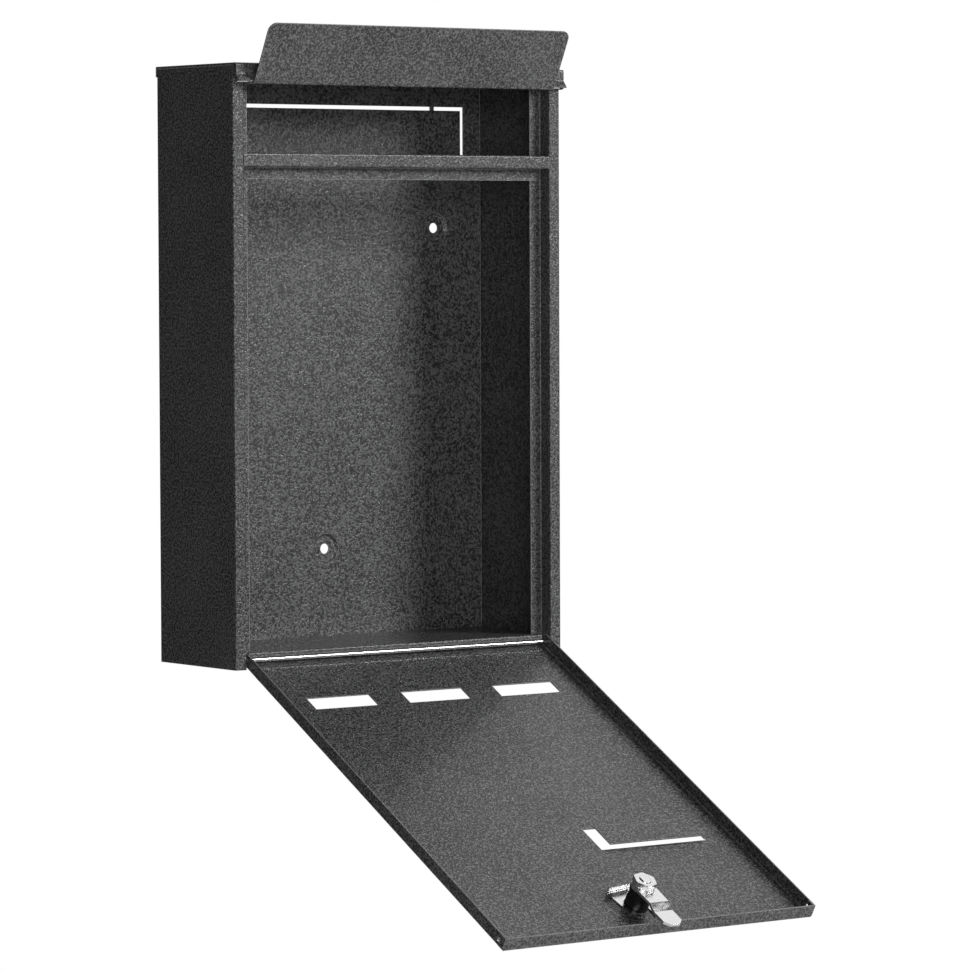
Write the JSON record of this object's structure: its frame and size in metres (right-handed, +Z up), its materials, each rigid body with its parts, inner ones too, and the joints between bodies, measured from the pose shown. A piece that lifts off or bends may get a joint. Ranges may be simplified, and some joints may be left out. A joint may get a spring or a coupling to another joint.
{
  "type": "wall mounted mailbox",
  "caption": "Wall mounted sheet steel mailbox with a bottom hinged, lockable door, a letter flap above it and screw holes in its back.",
  "frame": {"origin": "midway between the two upper screw holes, on the wall plane", "axes": "+X to the right seen from the front, the front faces -Y, +Z up; shown with the door and the flap open"},
  "size_m": [0.27, 0.3867, 0.5805],
  "materials": {
    "hammertone": "glossy black hammertone powder coat",
    "polished_rod": "bright drawn steel",
    "zinc_plate": "bright zinc plate",
    "lock_black": "black plated die casting",
    "wafer_brass": "stamped brass"
  },
  "bodies": {
    "casing": {"side_wall_left": "hammertone", "side_wall_right": "hammertone", "back_panel": "hammertone", "roof_panel": "hammertone", "floor_panel": "hammertone", "crossbar": "hammertone", "door_hinge_rod": "polished_rod", "flap_hinge_rod": "polished_rod"},
    "door": {"door_panel": "hammertone", "lock_body": "lock_black", "lock_clip": "zinc_plate"},
    "flap": {"flap": "hammertone"},
    "lock": {"lock_plug": "zinc_plate", "lock_wafers": "wafer_brass", "cam_stop_washer": "zinc_plate", "lock_cam": "zinc_plate", "cam_spring_washer": "zinc_plate", "cam_nut": "zinc_plate"}
  },
  "joints": [
    {"name": "door_hinge", "type": "hinge", "parent": "casing", "child": "door", "pos_m": [0, -0.0886, -0.286], "axis": [-1, 0, 0], "range_deg": [0, 119]},
    {"name": "flap_hinge", "type": "hinge", "parent": "casing", "child": "flap", "pos_m": [0, -0.0943, 0.0962], "axis": [1, 0, 0], "range_deg": [0, 159]},
    {"name": "lock_turn", "type": "hinge", "parent": "door", "child": "lock", "pos_m": [0, -0.34749, -0.4295], "axis": [0, -0.4848, 0.8746], "range_deg": [0, 90]}
  ]
}
